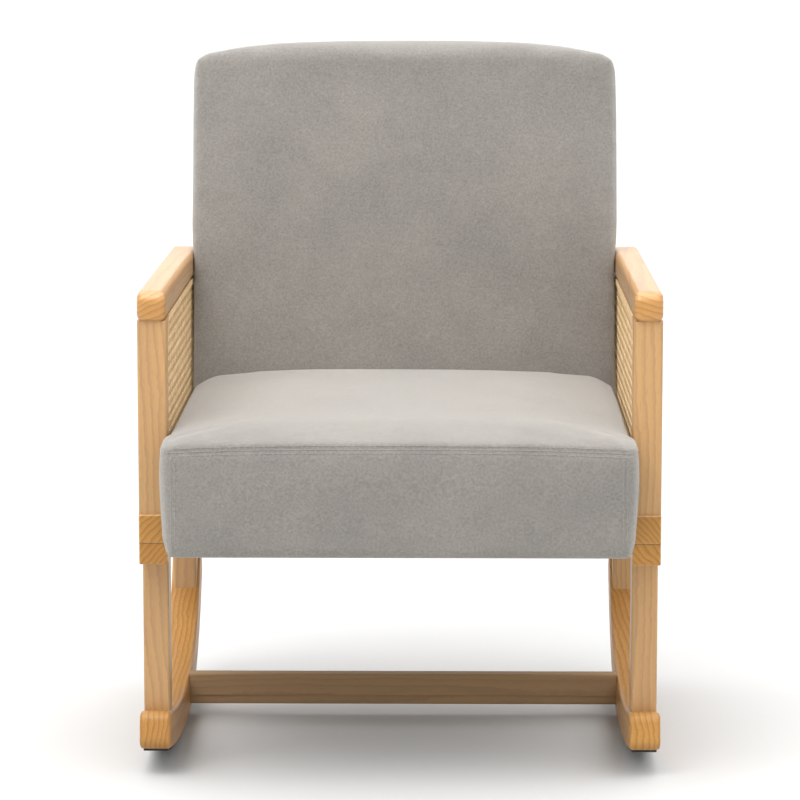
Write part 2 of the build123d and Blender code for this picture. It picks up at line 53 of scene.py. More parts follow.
# ------------------------------------------------------------------ reference
# s is the distance behind the front end of the rockers, h the height, both in
# metres, as in the design. The CAD boxes give the shift between s and Y.
_lo, _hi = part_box("left_rocker")
S0 = _lo[1] + 0.0003          # Y of s = 0 (the rocker's rounded front end)
seat_lo, seat_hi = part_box("seat_cover")
back_lo, back_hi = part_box("back_cover")
SHIFT = seat_lo[1] + 0.073    # Y = s + SHIFT
def Y(s):
    return s + SHIFT

# --------------------------------------------------------------------- camera
cam_data = bpy.data.cameras.new("camera")
cam = bpy.data.objects.new("camera", cam_data)
bpy.context.scene.collection.objects.link(cam)
cam_data.sensor_width = 36
cam_data.lens = 158.55
cam_data.clip_start, cam_data.clip_end = 0.1, 60
cam.location = (0.0525, Y(-4.2183), 1.0738)
pitch, yaw, roll = math.radians(8.147), math.radians(-0.709), math.radians(-0.10)
cam.rotation_euler = (math.radians(90) - pitch, 0, -yaw)
bpy.context.scene.camera = cam


# ------------------------------------------------------------- node utilities
def new_mat(name):
    m = bpy.data.materials.new(name)
    m.use_nodes = True
    nt = m.node_tree
    return m, nt, nt.nodes["Principled BSDF"]


def add(nt, kind, **kw):
    n = nt.nodes.new(kind)
    for k, v in kw.items():
        if k in n.inputs:
            n.inputs[k].default_value = v
        else:
            setattr(n, k, v)
    return n


def link(nt, a, b):
    nt.links.new(a, b)


def mapped(nt, scale=(1, 1, 1), loc=(0, 0, 0), rot=(0, 0, 0)):
    tc = nt.nodes.new("ShaderNodeTexCoord")
    mp = nt.nodes.new("ShaderNodeMapping")
    mp.inputs["Scale"].default_value = scale
    mp.inputs["Location"].default_value = loc
    mp.inputs["Rotation"].default_value = rot
    link(nt, tc.outputs["Object"], mp.inputs["Vector"])
    return mp.outputs["Vector"]


def ramp(nt, fac, stops):
    r = nt.nodes.new("ShaderNodeValToRGB")
    e = r.color_ramp.elements
    e[0].position, e[0].color = stops[0][0], (*stops[0][1], 1)
    e[1].position, e[1].color = stops[-1][0], (*stops[-1][1], 1)
    for p, c in stops[1:-1]:
        q = e.new(p)
        q.color = (*c, 1)
    link(nt, fac, r.inputs["Fac"])
    return r.outputs["Color"]


def math_node(nt, op, a, b=None, c=None):
    n = nt.nodes.new("ShaderNodeMath")
    n.operation = op
    for i, v in enumerate((a, b, c)):
        if v is None:
            continue
        if isinstance(v, (int, float)):
            n.inputs[i].default_value = v
        else:
            link(nt, v, n.inputs[i])
    return n.outputs[0]


def mix_col(nt, fac, a, b, mode="MIX"):
    n = nt.nodes.new("ShaderNodeMix")
    n.data_type = "RGBA"
    n.blend_type = mode
    for sock, v in ((n.inputs[0], fac), (n.inputs[6], a), (n.inputs[7], b)):
        if isinstance(v, (int, float)):
            sock.default_value = v
        elif isinstance(v, tuple):
            sock.default_value = (*v, 1)
        else:
            link(nt, v, sock)
    return n.outputs[2]


def bump(nt, height, strength, dist, normal=None):
    b = nt.nodes.new("ShaderNodeBump")
    b.inputs["Strength"].default_value = strength
    b.inputs["Distance"].default_value = dist
    link(nt, height, b.inputs["Height"])
    if normal is not None:
        link(nt, normal, b.inputs["Normal"])
    return b.outputs["Normal"]


# ------------------------------------------------------------------ materials
def wood(name, axis, seed, tone=1.0, warm=0.0, rough=0.36, ring=46.0, pith=None, slope=0.0, coat=0.05, spec=0.3):
    """Lacquered light hardwood. The growth rings run round a pith line along axis, so the
    long faces show straight and cathedral grain and the ends show ring arcs."""
    m, nt, p = new_mat(name)
    rnd = random.Random(seed)
    if pith is None:
        pith = (rnd.uniform(0.03, 0.07) * rnd.choice((-1, 1)), rnd.uniform(0.02, 0.06) * rnd.choice((-1, 1)))
    i = "XYZ".index(axis)
    off = [0, 0, 0]
    k = 0
    for j in range(3):
        if j != i:
            off[j] = pith[k]
            k += 1
    tc = nt.nodes.new("ShaderNodeTexCoord")
    mp = nt.nodes.new("ShaderNodeMapping")
    mp.inputs["Location"].default_value = off
    mp.inputs["Rotation"].default_value = (slope if i != 0 else 0, 0.02, 0.015)
    link(nt, tc.outputs["Object"], mp.inputs["Vector"])
    # slow wander of the rings
    st = [9.0, 9.0, 9.0]
    st[i] = 1.6
    m2 = nt.nodes.new("ShaderNodeMapping")
    m2.inputs["Scale"].default_value = st
    m2.inputs["Location"].default_value = (seed * 1.7, seed * 0.9, seed * 0.4)
    link(nt, tc.outputs["Object"], m2.inputs["Vector"])
    n1 = add(nt, "ShaderNodeTexNoise", Scale=1.0, Detail=3.0, Roughness=0.5)
    link(nt, m2.outputs["Vector"], n1.inputs["Vector"])
    sub = nt.nodes.new("ShaderNodeVectorMath")
    sub.operation = "SUBTRACT"
    link(nt, n1.outputs["Color"], sub.inputs[0])
    sub.inputs[1].default_value = (0.5, 0.5, 0.5)
    sc = nt.nodes.new("ShaderNodeVectorMath")
    sc.operation = "SCALE"
    link(nt, sub.outputs[0], sc.inputs[0])
    sc.inputs["Scale"].default_value = 0.045
    ad = nt.nodes.new("ShaderNodeVectorMath")
    ad.operation = "ADD"
    link(nt, mp.outputs["Vector"], ad.inputs[0])
    link(nt, sc.outputs[0], ad.inputs[1])
    w = add(nt, "ShaderNodeTexWave", wave_type="RINGS", rings_direction=axis, wave_profile="SAW",
            Scale=ring, Distortion=1.6, Detail=2.0)
    w.inputs["Detail Scale"].default_value = 2.0
    link(nt, ad.outputs[0], w.inputs["Vector"])
    # fine fibres
    fs = [520.0, 520.0, 520.0]
    fs[i] = 11.0
    m3 = nt.nodes.new("ShaderNodeMapping")
    m3.inputs["Scale"].default_value = fs
    link(nt, tc.outputs["Object"], m3.inputs["Vector"])
    n2 = add(nt, "ShaderNodeTexNoise", Scale=1.0, Detail=4.0, Roughness=0.62)
    link(nt, m3.outputs["Vector"], n2.inputs["Vector"])
    # pores: short dark dashes along the grain
    ps = [900.0, 900.0, 900.0]
    ps[i] = 60.0
    m4 = nt.nodes.new("ShaderNodeMapping")
    m4.inputs["Scale"].default_value = ps
    link(nt, tc.outputs["Object"], m4.inputs["Vector"])
    n3 = add(nt, "ShaderNodeTexNoise", Scale=1.0, Detail=1.0, Roughness=0.5)
    link(nt, m4.outputs["Vector"], n3.inputs["Vector"])
    # broad colour drift between boards
    bs = [14.0, 14.0, 14.0]
    bs[i] = 2.4
    m5 = nt.nodes.new("ShaderNodeMapping")
    m5.inputs["Scale"].default_value = bs
    m5.inputs["Location"].default_value = (seed * 3.1, 0, seed)
    link(nt, tc.outputs["Object"], m5.inputs["Vector"])
    n4 = add(nt, "ShaderNodeTexNoise", Scale=1.0, Detail=2.0)
    link(nt, m5.outputs["Vector"], n4.inputs["Vector"])

    def c(r, g, b):
        return (r * tone, g * tone * (1 - 0.05 * warm), b * tone * (1 - 0.14 * warm))

    rings = ramp(nt, w.outputs["Fac"], [(0.0, c(0.440, 0.218, 0.042)), (0.5, c(0.410, 0.196, 0.034)), (0.84, c(0.315, 0.132, 0.018)), (1.0, c(0.425, 0.206, 0.038))])
    fib = ramp(nt, n2.outputs["Fac"], [(0.32, (0.80, 0.76, 0.70)), (0.6, (1.0, 1.0, 1.0))])
    col = mix_col(nt, 0.55, rings, fib, "MULTIPLY")
    drift = ramp(nt, n4.outputs["Fac"], [(0.3, (0.86, 0.80, 0.72)), (0.7, (1.08, 1.08, 1.08))])
    col = mix_col(nt, 0.8, col, drift, "MULTIPLY")
    pores = ramp(nt, n3.outputs["Fac"], [(0.27, (0.55, 0.42, 0.30)), (0.36, (1, 1, 1))])
    col = mix_col(nt, 0.5, col, pores, "MULTIPLY")
    # painted highlight: convex edges, found by Pointiness, are mixed towards a pale tan
    geo = nt.nodes.new("ShaderNodeNewGeometry")
    edge = ramp(nt, geo.outputs["Pointiness"], [(0.50, (0, 0, 0)), (0.58, (1, 1, 1))])
    col = mix_col(nt, math_node(nt, "MULTIPLY", edge, 0.18), col, (0.95, 0.78, 0.55))
    link(nt, col, p.inputs["Base Color"])
    rr = nt.nodes.new("ShaderNodeMapRange")
    rr.inputs["To Min"].default_value = rough - 0.05
    rr.inputs["To Max"].default_value = rough + 0.14
    link(nt, n2.outputs["Fac"], rr.inputs["Value"])
    link(nt, rr.outputs["Result"], p.inputs["Roughness"])
    hsum = math_node(nt, "ADD", math_node(nt, "MULTIPLY", n2.outputs["Fac"], 0.5), math_node(nt, "MULTIPLY", n3.outputs["Fac"], 0.5))
    link(nt, bump(nt, hsum, 0.22, 0.0004), p.inputs["Normal"])
    p.inputs["Coat Weight"].default_value = coat
    p.inputs["Coat Roughness"].default_value = 0.28
    p.inputs["Specular IOR Level"].default_value = spec
    return m


def fabric(name, base, thread=0.00115, dark=0.72, light=1.16, sheen=0.75, mottling=0.26, bumpy=0.7):
    """Woven upholstery cloth, threads crossing over and under, with a soft brushed nap."""
    m, nt, p = new_mat(name)
    tc = nt.nodes.new("ShaderNodeTexCoord")
    # jitter the threads a little
    nj = add(nt, "ShaderNodeTexNoise", Scale=140.0, Detail=2.0)
    link(nt, tc.outputs["Object"], nj.inputs["Vector"])
    sb = nt.nodes.new("ShaderNodeVectorMath"); sb.operation = "SUBTRACT"
    link(nt, nj.outputs["Color"], sb.inputs[0]); sb.inputs[1].default_value = (0.5, 0.5, 0.5)
    sc = nt.nodes.new("ShaderNodeVectorMath"); sc.operation = "SCALE"
    link(nt, sb.outputs[0], sc.inputs[0]); sc.inputs["Scale"].default_value = thread * 0.9
    ad = nt.nodes.new("ShaderNodeVectorMath"); ad.operation = "ADD"
    link(nt, tc.outputs["Object"], ad.inputs[0]); link(nt, sc.outputs[0], ad.inputs[1])
    f = 2 * math.pi / (2 * thread)
    sep = nt.nodes.new("ShaderNodeSeparateXYZ")
    link(nt, ad.outputs[0], sep.inputs[0])
    # a face's own two directions: across is X on front, top and back faces, Y on the sides
    geo = nt.nodes.new("ShaderNodeNewGeometry")
    sn = nt.nodes.new("ShaderNodeSeparateXYZ")
    tn = nt.nodes.new("ShaderNodeVectorMath"); tn.operation = "ABSOLUTE"
    link(nt, tc.outputs["Normal"], tn.inputs[0])
    link(nt, tn.outputs[0], sn.inputs[0])
    side = math_node(nt, "GREATER_THAN", sn.outputs[0], 0.70)
    top = math_node(nt, "GREATER_THAN", sn.outputs[2], 0.66)
    def choose(fac, a, b):
        n = nt.nodes.new("ShaderNodeMix"); n.data_type = "FLOAT"
        link(nt, fac, n.inputs[0]); link(nt, a, n.inputs[2]); link(nt, b, n.inputs[3])
        return n.outputs[0]
    u = choose(side, sep.outputs[0], sep.outputs[1])
    v = choose(top, sep.outputs[2], sep.outputs[1])
    su = math_node(nt, "SINE", math_node(nt, "MULTIPLY", u, f))
    sv = math_node(nt, "SINE", math_node(nt, "MULTIPLY", v, f))
    weave = math_node(nt, "MULTIPLY", su, sv)               # over and under, -1..1
    cu = math_node(nt, "ABSOLUTE", math_node(nt, "SINE", math_node(nt, "MULTIPLY", u, f * 2)))
    cv = math_node(nt, "ABSOLUTE", math_node(nt, "SINE", math_node(nt, "MULTIPLY", v, f * 2)))
    rib = math_node(nt, "MULTIPLY", cu, cv)
    h = math_node(nt, "ADD", math_node(nt, "MULTIPLY", weave, 0.35), math_node(nt, "MULTIPLY", rib, 0.65))
    fuzz = add(nt, "ShaderNodeTexNoise", Scale=1500.0, Detail=3.0, Roughness=0.7)
    link(nt, tc.outputs["Object"], fuzz.inputs["Vector"])
    slub = add(nt, "ShaderNodeTexNoise", Scale=380.0, Detail=3.0, Roughness=0.7)
    link(nt, tc.outputs["Object"], slub.inputs["Vector"])
    mott = add(nt, "ShaderNodeTexNoise", Scale=9.0, Detail=4.0, Roughness=0.65)
    link(nt, tc.outputs["Object"], mott.inputs["Vector"])
    hh = math_node(nt, "ADD", h, math_node(nt, "MULTIPLY", fuzz.outputs["Fac"], 0.8))
    hn = math_node(nt, "MULTIPLY_ADD", h, 0.42, 0.5)
    b = base
    col = ramp(nt, hn, [(0.0, tuple(x * dark for x in b)), (0.55, b), (1.0, tuple(min(1, x * light) for x in b))])
    col = mix_col(nt, 0.5, col, ramp(nt, slub.outputs["Fac"], [(0.36, (0.66, 0.655, 0.65)), (0.64, (1.30, 1.295, 1.28))]), "MULTIPLY")
    col = mix_col(nt, mottling * 2.4, col, ramp(nt, mott.outputs["Fac"], [(0.34, (0.86, 0.855, 0.86)), (0.66, (1.10, 1.095, 1.075))]), "MULTIPLY")
    link(nt, col, p.inputs["Base Color"])
    rr = nt.nodes.new("ShaderNodeMapRange")
    rr.inputs["To Min"].default_value = 0.82
    rr.inputs["To Max"].default_value = 0.97
    link(nt, slub.outputs["Fac"], rr.inputs["Value"])
    link(nt, rr.outputs["Result"], p.inputs["Roughness"])
    link(nt, bump(nt, hh, bumpy, 0.0006), p.inputs["Normal"])
    p.inputs["Sheen Weight"].default_value = sheen
    p.inputs["Sheen Roughness"].default_value = 0.45
    p.inputs["Sheen Tint"].default_value = (0.95, 0.92, 0.88, 1)
    p.inputs["Specular IOR Level"].default_value = 0.2
    return m


def cane_mat(name, tone=1.0):
    m, nt, p = new_mat(name)
    v = mapped(nt)
    n1 = add(nt, "ShaderNodeTexNoise", Scale=60.0, Detail=3.0)
    link(nt, v, n1.inputs["Vector"])
    n2 = add(nt, "ShaderNodeTexNoise", Scale=900.0, Detail=2.0)
    link(nt, v, n2.inputs["Vector"])
    col = ramp(nt, n1.outputs["Fac"], [(0.3, (0.60 * tone, 0.40 * tone, 0.20 * tone)), (0.55, (0.74 * tone, 0.54 * tone, 0.30 * tone)), (0.75, (0.84 * tone, 0.66 * tone, 0.42 * tone))])
    col = mix_col(nt, 0.35, col, ramp(nt, n2.outputs["Fac"], [(0.3, (0.7, 0.66, 0.6)), (0.6, (1, 1, 1))]), "MULTIPLY")
    link(nt, col, p.inputs["Base Color"])
    rr = nt.nodes.new("ShaderNodeMapRange")
    rr.inputs["To Min"].default_value = 0.34
    rr.inputs["To Max"].default_value = 0.55
    link(nt, n2.outputs["Fac"], rr.inputs["Value"])
    link(nt, rr.outputs["Result"], p.inputs["Roughness"])
    link(nt, bump(nt, n2.outputs["Fac"], 0.3, 0.0003), p.inputs["Normal"])
    return m


def speckle(name, a, b, scale, rough, metallic=0.0, bumpy=0.3, stretch=(1, 1, 1)):
    m, nt, p = new_mat(name)
    v = mapped(nt, scale=stretch)
    n1 = add(nt, "ShaderNodeTexNoise", Scale=scale, Detail=4.0, Roughness=0.65)
    link(nt, v, n1.inputs["Vector"])
    n2 = add(nt, "ShaderNodeTexVoronoi", Scale=scale * 3)
    link(nt, v, n2.inputs["Vector"])
    link(nt, ramp(nt, n1.outputs["Fac"], [(0.3, a), (0.7, b)]), p.inputs["Base Color"])
    rr = nt.nodes.new("ShaderNodeMapRange")
    rr.inputs["To Min"].default_value = rough - 0.08
    rr.inputs["To Max"].default_value = min(1.0, rough + 0.12)
    link(nt, n1.outputs["Fac"], rr.inputs["Value"])
    link(nt, rr.outputs["Result"], p.inputs["Roughness"])
    link(nt, bump(nt, n2.outputs["Distance"], bumpy, 0.0003), p.inputs["Normal"])
    p.inputs["Metallic"].default_value = metallic
    return m


FAB = (0.250, 0.236, 0.218)
mat_fabric = fabric("grey_upholstery", FAB)
mat_stitch = fabric("stitch_thread", (0.30, 0.28, 0.255), thread=0.0004, bumpy=0.3)
mat_cane = cane_mat("cane_strands")
mat_reed = cane_mat("reed_spline", 1.18)
mat_rubber = speckle("black_rubber", (0.012, 0.012, 0.012), (0.03, 0.03, 0.031), 400, 0.72, bumpy=0.4)
mat_zinc = speckle("zinc_plate", (0.42, 0.42, 0.43), (0.62, 0.62, 0.62), 180, 0.32, metallic=1.0, bumpy=0.08)
mat_spring = speckle("spring_wire", (0.20, 0.20, 0.21), (0.36, 0.36, 0.37), 240, 0.38, metallic=1.0, bumpy=0.1)
mat_foam = speckle("foam_cells", (0.78, 0.72, 0.50), (0.90, 0.85, 0.66), 500, 0.9, bumpy=0.6)
mat_web = fabric("webbing_weave", (0.10, 0.09, 0.08), thread=0.002, sheen=0.1)
mat_dust = speckle("nonwoven_cloth", (0.012, 0.012, 0.013), (0.035, 0.035, 0.036), 700, 0.93, bumpy=0.6)


def put(node, mat):
    o = nodes[node]
    if not o.data.materials:
        o.data.materials.append(mat)
    for i, s in enumerate(o.material_slots):
        s.link = "OBJECT"
        s.material = mat


GRAIN = {"armrest": "Y", "arm_rail": "Y", "base_rail": "Y", "rocker": "Y", "front_post": "Z", "rear_post": "Z", "front_leg": "Z", "rear_leg": "Z"}
seed = 3
for side in ("left", "right"):
    for part, axis in GRAIN.items():
        seed += 1
        kw = {}
        # armrests: tone 1.18 paints their wood lighter, a painted highlight for the pale sheen on their tops; the
        # lower roughness and heavier coat give their real gloss
        if part == "armrest":
            kw = dict(tone=1.18, rough=0.26, coat=0.45, spec=0.5)
        if part == "front_leg":
            kw = dict(tone=0.92, warm=0.4)
        if part == "rear_leg":
            kw = dict(tone=0.95, warm=0.3)
        put(f"{side}_{part}", wood(f"{side}_{part}_wood", axis, seed, **kw))
# crossbar: tone 0.50 and warm 1.4 paint its wood much darker and warmer, painted shade for its place in shadow
# beneath the seat
put("crossbar", wood("crossbar_wood", "X", 40, tone=0.50, warm=1.4, rough=0.6, coat=0.0, spec=0.15))
raw = wood("frame_timber", "X", 51, tone=0.85, rough=0.6)
raw_z = wood("frame_timber_upright", "Z", 52, tone=0.85, rough=0.6)
raw_y = wood("frame_timber_side", "Y", 53, tone=0.85, rough=0.6)
dowel = wood("dowel_beech", "Z", 54, tone=0.95, rough=0.6)
for n in nodes:
    if "bolt" in n or "insert" in n or "barrel" in n:
        put(n, mat_zinc)
    elif "spring" in n:
        put(n, mat_spring)
    elif "strip" in n:
        put(n, mat_rubber)
    elif "foam" in n:
        put(n, mat_foam)
    elif "webbing" in n:
        put(n, mat_web)
    elif "dowels" in n:
        put(n, dowel)
    elif n in ("seat_front_rail", "seat_rear_rail", "back_top_rail", "back_middle_rail", "back_bottom_rail", "seat_corner_blocks"):
        put(n, raw)
    elif n.endswith("back_stile"):
        put(n, raw_z)
    elif n.endswith("seat_rail"):
        put(n, raw_y)
    elif "cane" in n:
        put(n, mat_reed)
    elif n == "seat_dust_cover":
        put(n, mat_dust)
    elif n in ("seat_cover", "back_cover"):
        put(n, mat_fabric)


# ---------------------------------------------------------------- mesh helpers
def obj(name, verts, faces, mat, smooth=True, body="root"):
    me = bpy.data.meshes.new(name)
    me.from_pydata([tuple(v) for v in verts], [], faces)
    me.update()
    o = bpy.data.objects.new(name, me)
    bpy.context.scene.collection.objects.link(o)
    me.materials.append(mat)
    if smooth:
        me.polygons.foreach_set("use_smooth", [True] * len(me.polygons))
    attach(o, body)
    return o


def fix_normals(o):
    bm = bmesh.new()
    bm.from_mesh(o.data)
    bmesh.ops.recalc_face_normals(bm, faces=bm.faces)
    bm.to_mesh(o.data)
    bm.free()


def apply_mods(o):
    dg = bpy.context.evaluated_depsgraph_get()
    me = bpy.data.meshes.new_from_object(o.evaluated_get(dg))
    mats = [m for m in o.data.materials]
    o.modifiers.clear()
    o.data = me
    if not me.materials:
        for m in mats:
            me.materials.append(m)
    me.polygons.foreach_set("use_smooth", [True] * len(me.polygons))


def tube(name, points, r, mat, sides=8, closed=False, flat=1.0):
    """A round bead swept along points (parallel transport), as mesh."""
    pts = [Vector(p) for p in points]
    n = len(pts)
    verts, faces = [], []
    prev = None
    for i, p in enumerate(pts):
        a = pts[(i - 1) % n] if (closed or i > 0) else p
        b = pts[(i + 1) % n] if (closed or i < n - 1) else p
        t = (b - a).normalized()
        if prev is None:
            up = Vector((0, 0, 1)) if abs(t.z) < 0.9 else Vector((1, 0, 0))
            u = t.cross(up).normalized()
        else:
            u = (prev - t * prev.dot(t)).normalized()
        prev = u
        w = t.cross(u)
        for k in range(sides):
            a_ = 2 * math.pi * k / sides
            verts.append(p + u * (r * math.cos(a_)) + w * (r * flat * math.sin(a_)))
    rings = n if closed else n - 1
    for i in range(rings):
        for k in range(sides):
            a0 = i * sides + k
            a1 = i * sides + (k + 1) % sides
            b0 = ((i + 1) % n) * sides + k
            b1 = ((i + 1) % n) * sides + (k + 1) % sides
            faces.append((a0, a1, b1, b0))
    if not closed:
        faces.append(tuple(range(sides))[::-1])
        faces.append(tuple((n - 1) * sides + k for k in range(sides)))
    return verts, faces


def smoothstep(a, b, x):
    t = max(0.0, min(1.0, (x - a) / (b - a)))
    return t * t * (3 - 2 * t)


def puff(o, pin_fn, pressure, cap, voxel, frames=18, shrink=0.0, stiff=20.0, seams=None):
    """Remeshes o, inflates it as pinned cloth and bakes the result. pin_fn gives 0..1."""
    drawn = bvh(o)
    rm = o.modifiers.new("remesh", "REMESH")
    rm.mode = "VOXEL"
    rm.voxel_size = voxel
    apply_mods(o)
    me = o.data
    for v in me.vertices:
        hit = drawn.find_nearest(v.co, voxel * 1.5)[0]
        if hit is not None:
            v.co = hit
    me.update()
    start = [v.co.copy() for v in me.vertices]
    vg = o.vertex_groups.new(name="pin")
    for v in me.vertices:
        w = pin_fn(v.co)
        if w > 0:
            vg.add([v.index], w, "REPLACE")
    cl = o.modifiers.new("cloth", "CLOTH")
    st = cl.settings
    st.quality = 5
    st.mass = 0.3
    st.tension_stiffness = stiff
    st.compression_stiffness = stiff
    st.shear_stiffness = stiff * 0.5
    st.bending_stiffness = 0.8
    st.air_damping = 6
    st.use_pressure = True
    st.uniform_pressure_force = pressure
    st.shrink_min = shrink
    st.effector_weights.gravity = 0.0
    st.vertex_group_mass = "pin"
    cl.collision_settings.use_collision = False
    cl.point_cache.frame_start, cl.point_cache.frame_end = 1, frames
    sc = bpy.context.scene
    for f in range(1, frames + 1):
        sc.frame_set(f)
    dg = bpy.context.evaluated_depsgraph_get()
    ev = o.evaluated_get(dg).to_mesh()
    end = [v.co.copy() for v in ev.vertices]
    o.evaluated_get(dg).to_mesh_clear()
    o.modifiers.clear()
    o.vertex_groups.clear()
    for v, a, b in zip(me.vertices, start, end):
        d = b - a
        if not all(math.isfinite(x) for x in d):
            continue
        if d.length > cap:
            d = d * (cap / d.length)
        v.co = a + d
    me.update()
    sc.frame_set(1)


def smooth_mesh(o, times, factor=0.5):
    bm = bmesh.new()
    bm.from_mesh(o.data)
    for _ in range(times):
        bmesh.ops.smooth_vert(bm, verts=bm.verts, factor=factor, use_axis_x=True, use_axis_y=True, use_axis_z=True)
    bm.to_mesh(o.data)
    bm.free()


def bvh(o):
    return BVHTree.FromPolygons([v.co.copy() for v in o.data.vertices], [tuple(p.vertices) for p in o.data.polygons])


# ---- seat cushion: a boxed form over the seat box
W = 0.2795
FRONT = seat_lo[1]
BOT = seat_lo[2] - 0.0045
SEAM_H = 0.4205
REAR = seat_hi[1]
LEAN = math.radians(11.5)


def back_front(h, gap=0.0):
    return Y(0.445 + (h - 0.435) * math.tan(LEAN) - gap)


def seam_h(x):
    """The front top seam sags a little towards the corners."""
    return SEAM_H - 0.005 * min(1.0, abs(x) / W) ** 3


REAR_H = 0.4485


def seat_profile():
    """Side outline of the upholstered seat, from the lower front edge round to the lower rear edge."""
    out = [(FRONT + 0.006, BOT), (FRONT + 0.0015, BOT + 0.003), (FRONT + 0.0003, BOT + 0.009)]
    for k in range(1, 13):
        out.append((FRONT + 0.0003, BOT + 0.009 + (SEAM_H - BOT - 0.014) * k / 12))
    out += [(FRONT + 0.0012, SEAM_H), (FRONT + 0.0035, SEAM_H + 0.0062), (FRONT + 0.0085, SEAM_H + 0.0112), (FRONT + 0.017, SEAM_H + 0.0150), (FRONT + 0.030, SEAM_H + 0.0176)]
    y0, h0 = out[-1]
    y_end = back_front(REAR_H, 0.0005)
    for k in range(1, 31):
        t = k / 30
        out.append((y0 + (y_end - y0) * t, h0 + (REAR_H - h0) * t + 0.0045 * math.sin(math.pi * t)))
    out += [(back_front(0.41, 0.0005), 0.41), (back_front(0.374, 0.0005), 0.374), (REAR - 0.004, 0.3735), (REAR - 0.0005, 0.370), (REAR - 0.0005, BOT + 0.006), (REAR - 0.004, BOT)]
    return out


prof = seat_profile()
xs = [-1 + 2 * k / 44 for k in range(45)]
xs = [math.copysign(1 - (1 - abs(x)) ** 1.5, x) if abs(x) > 1e-9 else 0.0 for x in xs]
verts, faces = [], []
for x in xs:
    ax = abs(x)
    for (y, h) in prof:
        t = max(0.0, min(1.0, (y - FRONT) / 0.5))
        up = max(0.0, min(1.0, (h - BOT) / (SEAM_H - BOT)))
        dh = -(0.005 + 0.007 * t) * ax ** 3 * up if y < back_front(h, -0.001) else 0.0
        # the top rolls over towards the sides
        if h > SEAM_H and y < back_front(h, -0.001):
            dh -= (h - SEAM_H) * 0.35 * smoothstep(0.90, 1.0, ax)
        verts.append(Vector((x * W, y, h + dh)))
n = len(prof)
for i in range(len(xs) - 1):
    for j in range(n):
        a, b = i * n + j, i * n + (j + 1) % n
        c, d = (i + 1) * n + (j + 1) % n, (i + 1) * n + j
        faces.append((a, d, c, b))
faces.append(tuple(range(n)))
faces.append(tuple((len(xs) - 1) * n + j for j in range(n))[::-1])
seat = obj("seat_upholstery", verts, faces, mat_fabric)
fix_normals(seat)
bm = bmesh.new()
bm.from_mesh(seat.data)
bmesh.ops.triangulate(bm, faces=[f for f in bm.faces if len(f.verts) > 4])
bm.to_mesh(seat.data)
bm.free()


def seat_pin(c):
    """Held where the cover is sewn or stapled, and where it rests against the frames."""
    w = 0.0
    front = 1 - smoothstep(0.0, 0.010, c.y - FRONT)
    seam = 1 - smoothstep(0.003, 0.009, abs(c.z - seam_h(c.x)))
    corner = 1 - smoothstep(0.002, 0.009, W - abs(c.x))
    # top front seam and side seams at seam height
    w = max(w, seam * max(front, corner))
    # the vertical corner seams
    w = max(w, 0.9 * front * corner)
    # lower edge stapled to the rails, and the underside
    w = max(w, 1 - smoothstep(0.004, 0.012, c.z - BOT))
    # between the arm frames and behind the back it can't grow
    if c.y > Y(-0.004) and abs(c.x) > W - 0.02:
        w = max(w, 0.93)
    if c.y > back_front(c.z, 0.012):
        w = 1.0
    return min(1.0, w)


puff(seat, seat_pin, pressure=4.0, cap=0.006, voxel=0.0060, frames=16)


def shape_seat(o):
    """Final soft shaping: the sides that stand ahead of the arm frames bulge, and small puckers
    pull in at the ends of the top seam."""
    R = 0.016
    for v in o.data.vertices:
        c = v.co.copy()
        # rounded vertical corners
        dx, dy = abs(c.x) - (W - R), (FRONT + R) - c.y
        if dx > 0 and dy > 0:
            l = math.hypot(dx, dy)
            if l > R:
                dx, dy = dx * R / l, dy * R / l
                c.x = math.copysign(W - R + dx, c.x)
                c.y = FRONT + R - dy
        # side bulge ahead of the arm frames, fullest under the top seam
        f = 1 - smoothstep(Y(-0.020), Y(-0.004), c.y)
        if f > 0 and abs(c.x) > 0.20:
            g = smoothstep(0.22, W, abs(c.x))
            hh = (c.z - BOT) / (SEAM_H - BOT)
            bulge = 0.0005 + 0.0032 * smoothstep(0.0, 0.18, hh) + 0.0034 * smoothstep(0.1, 0.75, hh) - 0.001 * smoothstep(0.9, 1.1, hh)
            c.x += math.copysign(bulge * f * g, c.x)
        d = c.z - seam_h(c.x)
        if c.y < FRONT + 0.035:
            near = 1 - smoothstep(FRONT + 0.014, FRONT + 0.035, c.y)
            # the cover is drawn in along the seam and stands full on both sides of it
            c += Vector((0, 0.8, -0.6)) * (0.0024 * math.exp(-(d / 0.0040) ** 2) * near)
            full = 0.0022 * math.exp(-((d + 0.035) / 0.030) ** 2) * near
            c.y -= full * (1 - (abs(c.x) / W) ** 6)
            # puckers fan out from both corners of the seam
            for sx in (-1, 1):
                dx = abs(c.x - sx * (W - 0.006))
                if dx < 0.09 and abs(d) < 0.06:
                    amp = 0.0011 * math.exp(-dx / 0.026) * math.exp(-(d / 0.030) ** 2)
                    ang = math.atan2(d + 0.02, dx + 0.012)
                    c.y -= amp * math.sin(ang * 15.0)
        w = noise.noise(Vector((c.x * 6, c.y * 6, c.z * 6 + 3))) * 0.0016 + noise.noise(Vector((c.x * 19, c.y * 19, c.z * 19 + 7))) * 0.0004
        if c.z > BOT + 0.02:
            c += v.normal * w
        v.co = c
    o.data.update()


smooth_mesh(seat, 3, 0.45)
shape_seat(seat)
ss = seat.modifiers.new("sub", "SUBSURF")
ss.levels = ss.render_levels = 1
apply_mods(seat)
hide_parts("seat_cover", "seat_foam")


# ---- back: one boxed cushion with an arched top
def back_point(x, w, u):
    c, s = math.cos(LEAN), math.sin(LEAN)
    return Vector((x, Y(0.445) + w * c + u * s, 0.435 - w * s + u * c))


T = 0.074
U_TOP = (0.880 - 0.435) / math.cos(LEAN)
BH = 0.2822


def half_width(u):
    """Half width of the back at height u along it: it swells above the arms and narrows at the top."""
    t = (u - 0.10) / (U_TOP - 0.10)
    return BH + 0.0032 * smoothstep(0.160, 0.215, u) * (1 - 0.45 * smoothstep(0.70, 1.0, t))


